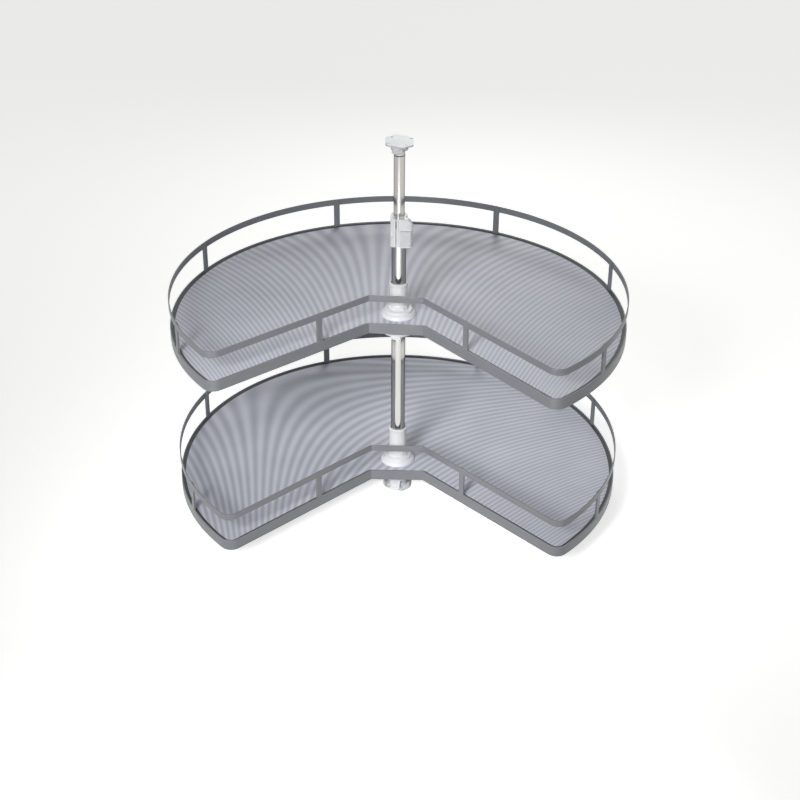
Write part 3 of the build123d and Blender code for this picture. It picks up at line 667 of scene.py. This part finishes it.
# The bracket's six-sided plate with its four screw holes: a web on the mounting face, and
# a raised rim carried round it. The side is 1 where the rim stands up and -1 where it hangs.
def bracketPlate(face, side):
    half = np.array(bracket["corners"])
    edge = roundedLine(np.concatenate([half, -half]), bracket["cornerRadius"], steps=9)
    holes = fourHoles(bracket["holeCircle"], bracket["hole"], bracket["holeTurn"])
    web, tip, foot = (face + side * bracket[key] for key in ("web", "thick", "rimFoot"))
    section = [(0, foot), (0, tip), (bracket["rimWidth"], tip), (bracket["rimWidth"] + 0.3, foot)]
    rimLine = roundedLine(section, [0.05, 0.5, 0.5, 0.05], steps=5)
    return [plateShape(edge, holes, min(face, web), max(face, web), 0.3),
            gridShape(carried(edge, inwardNormals(edge), rimLine))]


# The boss seen from above: a rectangle whose outer face has two square grooves.
def groovedBoss(low, high):
    w, r, g, p = collar["bossWidth"] / 2, collar["bossReach"], bracket["groove"], bracket["groovePlace"]
    line = [(collar["bossFrom"], -w, 0.4), (r, -w, 1.3)]
    for middle in (-p, p):
        line += [(r, middle - g / 2, 0.36), (r - g / 2, middle - g / 2, 0.3), (r - g / 2, middle + g / 2, 0.3),
                 (r, middle + g / 2, 0.36)]
    line = np.array(line + [(r, w, 1.3), (collar["bossFrom"], w, 0.4)])
    plan = roundedLine(line[:, :2], line[:, 2], steps=4, guard=0.03)
    return laid(plateShape(plan, [], low, high, 0.2), (0, 0, 0), *outAndAlong())


# The round socket, a rounded rectangle of radius and height turned about the pole.
def socket(radius, bore, low, high):
    line = [(bore, low), (radius, low), (radius, high), (bore, high)]
    return gridShape(turnedShape(roundedLine(line, [0.3, 0.9, 0.9, 0.5], steps=5), 144))


hollow, wall, foot, tip = (bracket[key] for key in ("spigotBore", "spigot", "spigotBottom", "spigotTop"))
addPiece("baseBracket", [
    *bracketPlate(0.0, 1), socket(bracket["socket"], bracket["bore"], bracket["web"] - 0.5, bracket["socketTop"]),
    groovedBoss(bracket["web"] - 0.3, bracket["socketTop"]),
    gridShape(turnedShape(roundedLine([(hollow, foot), (wall, foot), (wall, tip), (hollow, tip)], 0.8))),
], "pole", "white_abs", ["base_bracket"])
topLow, topHigh = bracket["inner"] - bracket["topDepth"], bracket["inner"] - bracket["web"]
addPiece("topBracket", [
    *bracketPlate(bracket["inner"], -1), socket(bracket["topSocket"], bracket["topBore"], topLow, topHigh + 0.5),
    groovedBoss(topLow, topHigh + 0.3),
], "extension", "white_abs", ["top_bracket"])
print("brackets made")


pole = dict(tube=12.5, wall=1.5, tubeBottom=3.0, tubeTop=518.0, inner=9.5, innerWall=1.2, innerBottom=400.0,
            ring=654.0, ringGap=0.6, stubWall=7.5, stubTop=675.0)


# A tube with both rims rounded, its wall's rectangle turned about the pole.
def tubeShape(radius, wall, bottom, top):
    line = [(radius, bottom), (radius, top), (radius - wall, top), (radius - wall, bottom)]
    return [gridShape(turnedShape(roundedLine(line, 0.35, steps=4), 128))]


ringIn, ringOut = pole["inner"] - 1.0, pole["inner"] + 0.2
ringLow, ringHigh = pole["ring"] - pole["ringGap"], pole["ring"] + pole["ringGap"]
addPiece("lowerTube", tubeShape(pole["tube"], pole["wall"], pole["tubeBottom"], pole["tubeTop"]),
         "pole", "chromed_steel", ["lower_tube"])
addPiece("upperTube", tubeShape(pole["inner"], pole["innerWall"], pole["innerBottom"], ringLow),
         "extension", "chromed_steel", ["upper_tube"])
addPiece("topStub", tubeShape(pole["inner"], pole["stubWall"], ringHigh, pole["stubTop"]),
         "extension", "chromed_steel", ["top_spigot"])
ringLine = [(ringOut, ringLow), (ringOut, ringHigh), (ringIn, ringHigh), (ringIn, ringLow)]
addPiece("jointRing", [gridShape(turnedShape(roundedLine(ringLine, 0.25, steps=4), 96))], "extension",
         "black_ring", ["joint_ring"])
print("pole made")


clamp = dict(
    bottom=494.0, top=546.0, radius=14.6, bore=12.52, innerBore=9.6, tubeTop=518.0,
    left=-14.4, right=11.2, front=-21.5, edge=0.9, cornerRound=2.4, leftRound=6.0,
    slit=-4.7, slitHalf=0.4, slotHalf=0.95, slot=(527.5, 540.0), slotStep=0.3, lip=0.35, lipDepth=5.0,
    grooves=(24.0, 52.0, 80.0), grooveHalf=9.0, grooveDepth=0.55, grooveEnds=(3.0, 4.2),
    pivot=(17.8, -17.5), knuckle=6.3, knuckleLeft=-2.0, shoulder=13.0, knob=(15.4, 534.2), knobRadius=3.6,
    leverBottom=497.4, leverTop=524.6, gap=0.5, barrel=6.0, pin=2.08, eyeHalf=5.0,
    paddleLeft=2.6, paddleFront=24.8, paddleBack=22.1, paddleBend=6.8,
    boltHeight=511.0, boltRadius=2.5, boltHead=3.0, headOut=-12.4, headIn=-10.4, eyeRadius=4.0,
)


# Rises from 0 to 1 between two limits: with t the share of the way, 3 t squared less
# 2 t cubed.
def smoothStep(value, low, high):
    t = np.clip((value - low) / (high - low), 0, 1)
    return t * t * (3 - 2 * t)


# The sleeve from above as two lines end to end: outside from the right lip of the slit
# round the back to the left lip, and inside through the slit and round the bore. Every
# bore gives the same number of points.
def sleeveLine(bore):
    r, left, right, front = (clamp[key] for key in ("radius", "left", "right", "front"))
    lipRight, lipLeft = clamp["slit"] + clamp["slitHalf"], clamp["slit"] - clamp["slitHalf"]
    lip, lipEnd = clamp["lip"], front + clamp["lipDepth"]
    c, wide = clamp["cornerRound"], clamp["leftRound"]

    def run(a, b, count):
        return np.linspace(a, b, count, endpoint=False)

    def arc(cx, cy, radius, first, last, count):
        t = np.radians(np.linspace(first, last, count))
        return np.stack([cx + radius * np.cos(t), cy + radius * np.sin(t)], -1)

    joinRight, joinLeft = -math.sqrt(r * r - right * right), -math.sqrt(r * r - left * left)
    backFrom = math.degrees(math.atan2(joinRight, right))
    backTo = 180 + math.degrees(math.atan2(-joinLeft, -left))
    onLeft, onRight = (np.array([x, -math.sqrt(bore ** 2 - x ** 2)]) for x in (lipLeft, lipRight))
    boreFrom, boreTo = (math.degrees(math.atan2(spot[1], spot[0])) for spot in (onLeft, onRight))
    outside = [
        run((lipRight, front + lip), (lipRight + lip, front), 4),
        run((lipRight + lip, front), (right - c, front), 14),
        arc(right - c, front + c, c, -90, 0, 9),
        run((right, front + c + 0.3), (right, joinRight), 10),
        arc(0, 0, r, backFrom, backTo, 72),
        run((left, joinLeft - 0.4), (left, front + wide), 20),
        arc(left + wide, front + wide, wide, 180, 269, 60),
        run((left + wide, front), (lipLeft - lip, front), 4),
        run((lipLeft - lip, front), (lipLeft, front + lip), 4),
    ]
    inside = [
        run((lipLeft, front + lip), (lipLeft, lipEnd), 4),
        run((lipLeft, lipEnd), onLeft, 6),
        arc(0, 0, bore, boreFrom, boreTo - 360, 72),
        run(onRight + (0, -0.3), (lipRight, lipEnd), 6),
        run((lipRight, lipEnd), (lipRight, front + lip), 4),
    ]
    return np.concatenate(outside), np.concatenate(inside)


# The sleeve's wall, row by row upwards. The bore narrows where the outer tube ends, the
# slit's lips open along the slot, upright grooves run down the left ear's rounding, and
# a counterbore for the bolt's head is sunk into the left face. Each of these moves a
# row's points by a smooth step of the height times a smooth step across.
def sleeveShape():
    outside, inside = sleeveLine(clamp["bore"])
    wide, narrow = np.concatenate([outside, inside]), np.concatenate(sleeveLine(clamp["innerBore"]))
    e, low, high, slit, tubeTop = (clamp[key] for key in ("edge", "bottom", "top", "slit", "tubeTop"))
    (slotLow, slotHigh), step, (tip, full) = clamp["slot"], clamp["slotStep"], clamp["grooveEnds"]
    roundX, roundY = clamp["left"] + clamp["leftRound"], clamp["front"] + clamp["leftRound"]
    turn = np.linspace(0, math.pi / 2, 6)
    levels = np.concatenate([
        np.arange(low + 3, clamp["boltHeight"] - 5.5, 1.5), clamp["boltHeight"] + np.arange(-5, 5.2, 0.5),
        tubeTop + np.array([-0.1, 0, 0.1, 3, 6]), slotLow + np.array([-step, 0, step, 3.5, 8.5]),
        slotHigh + np.array([-step, 0, step]), [high - 3],
    ])
    rows = [(e + 0.6, low)] + [(e - e * math.sin(t), low + e - e * math.cos(t)) for t in turn]
    rows += [(0, z) for z in levels]
    rows += [(e - e * math.cos(t), high - e + e * math.sin(t)) for t in turn] + [(e + 0.6, high)]
    inset, height = np.array(rows).T
    # the edges of the slit and the bore are rounded less than the outer ones
    nearSlit = smoothStep(np.abs(wide[:, 0] - slit), 0.8, 3.5)
    share = np.where(wide[:, 1] > roundY, 1.0, 0.3 + 0.7 * nearSlit)
    share[len(outside):] = 0.3
    grids = []
    for z, k in zip(height, inset):
        loop = wide if z < tubeTop + 0.05 else narrow
        spot = loop + inwardNormals(loop) * (k * share)[:, None]
        x, y = spot[:, 0].copy(), spot[:, 1].copy()
        inSlot = smoothStep(z, slotLow - step, slotLow + step) - smoothStep(z, slotHigh - step, slotHigh + step)
        lips = (np.abs(x - slit) < 1.2) & (y < clamp["front"] + clamp["lipDepth"] + 0.2)
        x += np.where(lips, np.sign(x - slit), 0) * inSlot * (clamp["slotHalf"] - clamp["slitHalf"])
        along = smoothStep(z, low + tip, low + full) - smoothStep(z, high - full, high - tip)
        turnLeft = np.arctan2(roundY - spot[:, 1], roundX - spot[:, 0])
        onRound = (spot[:, 0] < slit - 0.8) & (spot[:, 1] < roundY + 1)
        for groove in clamp["grooves"]:
            deep = 1 - smoothStep(np.abs(np.degrees(turnLeft) - groove), 3, clamp["grooveHalf"])
            press = onRound * along * clamp["grooveDepth"] * deep
            x += press * np.cos(turnLeft)
            y += press * np.sin(turnLeft)
        fromBolt = np.hypot(y - clamp["pivot"][1], z - clamp["boltHeight"])
        sunk = (x < clamp["headIn"]) * (1 - smoothStep(fromBolt, clamp["boltHead"] + 0.1, clamp["boltHead"] + 0.5))
        x += sunk * (clamp["headIn"] - x)
        grids.append(np.stack([x, y, np.full(len(x), z)], -1))
    points, faces = gridShape(np.array(grids), False, True)
    for first, end in ((0, grids[0]), (len(points) - len(wide), grids[-1])):
        faces += (filled([end[:, :2]]) + first).tolist()
    return points, faces


# What holds an end of the lever's pin, as sections across it from left to right: each
# is a rounded rectangle whose depth narrows round the pin as the square root of the
# pin holder's radius squared less the distance squared, and whose top falls the same way.
def pinHolder(low, high, shoulder):
    px, py = clamp["pivot"]
    r = clamp["knuckle"]
    end = px + r
    xs = np.concatenate([[-2.0, -1.8, -1.4, -0.7, 0.1, 0.6, 1.4, 5, 9], np.linspace(10.5, px, 10),
                         px + r * np.sin(np.radians([8, 16, 24, 32, 40, 48, 56, 63, 70, 76, 81, 85, 88]))])
    sections = []
    for x in xs:
        half = math.sqrt(max(r * r - max(x - px, 0) ** 2, 0.01))
        front = py - half
        if x < 1:
            front = clamp["front"] + (front - clamp["front"]) * float(smoothStep(x, clamp["knuckleLeft"], 0.8))
        back = py + half + 4.5 * (1 - float(smoothStep(x, 8, 13)))
        top = high
        if shoulder:
            top -= shoulder - math.sqrt(max(shoulder ** 2 - max(x - (end - shoulder), 0) ** 2, 0))
        e = min(1.1, 0.42 * (back - front), 0.42 * (top - low))
        corners = [(back, low), (front, low), (front, top), (back, top)]
        loop = roundedLine(corners, [0.3 * e, 0.6 * e, e, 0.5 * e], steps=5, guard=0.02 * e)
        sections.append(np.concatenate([np.full((len(loop), 1), x), loop], 1))
    return gridShape(np.array(sections), False, True, True)


# A low dome on the knuckle's face: radius and rise turned about a line out of the face.
def knobShape():
    t = np.radians(np.linspace(0, 90, 9))
    profile = np.concatenate([[(clamp["knobRadius"], -0.6)], np.stack([
        clamp["knobRadius"] - 1.6 * (1 - np.cos(t)), 0.95 * np.sin(t)], -1), [(0.02, 1.0)], [(0.02, -0.6)]])
    (x, z), face = clamp["knob"], clamp["pivot"][1] - clamp["knuckle"]
    return laid(gridShape(turnedShape(profile, 48)), (x, face, z), (1, 0, 0), (0, 0, 1))


# The lever: its paddle is a strip that lies flat across the front and starts to bend
# round the pin's side, where its outer face is an arc. Behind it, above and below the
# bolt's eye, a block carries on the arc and is bored for the pin.
def leverShapes():
    px, py = clamp["pivot"]
    left, right = clamp["paddleLeft"], px + clamp["barrel"]
    low, high, front = clamp["leverBottom"], clamp["leverTop"], -clamp["paddleFront"]
    thick, bend, b = clamp["paddleFront"] - clamp["paddleBack"], clamp["paddleBend"], clamp["barrel"]
    turn = np.radians(np.linspace(-90, -47, 14))
    arc = np.stack([right - bend + bend * np.cos(turn), front + bend + bend * np.sin(turn)], -1)
    back = [(arc[-1, 0] - 0.2, front + thick), (left, front + thick), (left, front)]
    # the arc's end stands for the back's first rounding
    strip = np.concatenate([arc, roundedLine(back, [0.02, 1.0, 1.3], steps=8)[8:]])
    side, near = right - 0.15, front + 0.15
    block = roundedLine([(px - b, py + b), (px - b, front + 0.6), (side, near), (side, py + b)],
                        [b - 0.4, 0.8, bend - 0.15, b - 0.4], steps=12)
    hole = circle(px, py, clamp["pin"], 32, hole=True)
    shapes = [plateShape(strip, [], low, high, 0.45, 5)]
    for a, c in ((low, clamp["boltHeight"] - clamp["eyeHalf"]), (clamp["boltHeight"] + clamp["eyeHalf"], high)):
        shapes.append(plateShape(block, [hole], a + 0.05, c - 0.05, 0.6))
    return shapes


# The cross bolt: a domed head in the left ear, a shank to the right, and an eye that is
# bored for the pin.
def boltShapes():
    px, py = clamp["pivot"]
    r, head, out, inner = clamp["boltRadius"], clamp["boltHead"], clamp["headOut"], clamp["headIn"]
    end = px - 3
    line = np.array([(0.02, out, 0), (head, out, 1.1), (head, inner, 0.2), (r, inner, 0.1), (r, end, 0.1),
                     (0.02, end, 0)])
    profile = roundedLine(line[:, :2], line[:, 2], closed=False, steps=6)
    shank = laid(gridShape(turnedShape(profile, 64)), (0, py, clamp["boltHeight"]), (0, 1, 0), (0, 0, 1))
    low, high = clamp["boltHeight"] - clamp["eyeHalf"] + 0.5, clamp["boltHeight"] + clamp["eyeHalf"] - 0.5
    hole = circle(px, py, clamp["pin"], 32, hole=True)
    return [shank, plateShape(circle(px, py, clamp["eyeRadius"], 64), [hole], low, high, 0.4)]


addPiece("clampHousing", [
    sleeveShape(), pinHolder(clamp["leverTop"] + clamp["gap"], clamp["top"] - 0.05, clamp["shoulder"]),
    pinHolder(clamp["bottom"] + 0.05, clamp["leverBottom"] - clamp["gap"], 0), knobShape(),
], "pole", "white_abs", ["clamp_housing"], weld=0.004)
addPiece("clampLever", leverShapes(), "cam_lever", "white_abs", ["clamp_lever"], leverFinish)
addPiece("clampBolt", boltShapes(), "pole", "zinc_screw", ["clamp_bolt"])
print("clamp made")


stage = dict(
    # the radii within which the floor's glow is taken away, a painted shadow under the bracket
    floorRadius=14000, floorDrop=0.2, floor="#F2F2F0", floorBounce="#A8A8A8", floorLift=0.62, paintedShadowRadii=(26, 28),
    world=0.2, backdrop="#F4F4F3",
)
# Where each lamp stands and aims, how wide it is, its power in watts and how far its
# light spreads in degrees
lamps = dict(
    keySoftbox=dict(place=(-600, -1600, 1150), aim=(-10, -190, 170), size=700, power=2.9, spread=46),
    fillSoftbox=dict(place=(1700, -1300, 1000), aim=(100, 0, 300), size=1400, power=5, spread=180),
    # lights the floor in front, which the tubes mirror as a bright line
    floorSoftbox=dict(place=(-100, -1250, 1600), aim=(-100, -1200, 0), size=300, power=4, spread=50),
    edgeSoftbox=dict(place=(150, 1600, 1250), aim=(0, -50, 350), size=600, power=5, spread=180),
)


# Whether a ray is one that the eye follows: straight from the camera, by reflection or
# through a clear body. The floor and the world are paler for these than for the light
# that they send back into the object.
def seenRays(tree):
    rays = addNode(tree, "ShaderNodeLightPath")
    direct = addNode(tree, "ShaderNodeMath", {"operation": "MAXIMUM"},
                     {0: rays.outputs["Is Camera Ray"], 1: rays.outputs["Is Glossy Ray"]})
    return addNode(tree, "ShaderNodeMath", {"operation": "MAXIMUM"},
                   {0: direct.outputs[0], 1: rays.outputs["Is Transmission Ray"]}).outputs[0]


# A round floor, just under the bracket, and an even light from all round.
def addStage():
    disc = turnedShape(np.array([(0.0, -stage["floorDrop"]), (stage["floorRadius"], -stage["floorDrop"])]))
    floor = bpy.data.objects.new("paleFloor", meshFromShapes("paleFloor", [gridShape(disc, True, False)], weld=0.01))
    finish, tree, shader, place = newFinish("paleFloorPaint")
    colour = addNode(tree, "ShaderNodeMix",
                     {"data_type": "RGBA", 6: toLinear(stage["floorBounce"]), 7: toLinear(stage["floor"])},
                     {0: seenRays(tree)})
    # the floor's glow is taken away under the bracket: a painted shadow there, seen through the screw holes
    away = addNode(tree, "ShaderNodeVectorMath", {"operation": "LENGTH"}, {0: place})
    start, full = stage["paintedShadowRadii"]
    glowPastShadow = addNode(tree, "ShaderNodeMapRange",
                   {"From Min": start * mm, "From Max": full * mm, "To Max": stage["floorLift"]},
                   {"Value": away.outputs["Value"]})
    glow = addNode(tree, "ShaderNodeMath", {"operation": "MULTIPLY"}, {0: seenRays(tree), 1: glowPastShadow.outputs[0]})
    joinTo(tree, shader, {"Base Color": colour.outputs[2], "Emission Strength": glow.outputs[0]})
    shader.inputs["Emission Color"].default_value = (1, 1, 1, 1)
    shader.inputs["Roughness"].default_value = 0.8
    floor.data.materials.append(finish)
    bpy.context.scene.collection.objects.link(floor)

    world = bpy.data.worlds.new("softRoom")
    bpy.context.scene.world = world
    world.use_nodes = True
    tree = world.node_tree
    strength = addNode(tree, "ShaderNodeMapRange", {"To Min": stage["world"], "To Max": 1.0},
                       {"Value": seenRays(tree)})
    back = tree.nodes["Background"]
    back.inputs["Color"].default_value = toLinear(stage["backdrop"])
    tree.links.new(strength.outputs[0], back.inputs["Strength"])


# A round lamp that looks along the line from its place to its aim.
def addLamp(name, place, aim, size, power, spread):
    data = bpy.data.lights.new(name, "AREA")
    data.shape = "DISK"
    data.spread = math.radians(spread)
    data.size = size * mm
    data.energy = power
    lamp = bpy.data.objects.new(name, data)
    ahead = np.array(aim, float) - np.array(place, float)
    ahead /= np.linalg.norm(ahead)
    side = np.cross(ahead, (0, 0, 1))
    side /= np.linalg.norm(side)
    turn = Matrix(np.stack([side, np.cross(side, ahead), -ahead], -1).tolist()).to_4x4()
    turn.translation = np.array(place) * mm
    lamp.matrix_world = turn
    bpy.context.scene.collection.objects.link(lamp)


addStage()
for name, lamp in lamps.items():
    addLamp(name, **lamp)
bpy.context.scene.view_settings.view_transform = "Standard"
print("stage set")
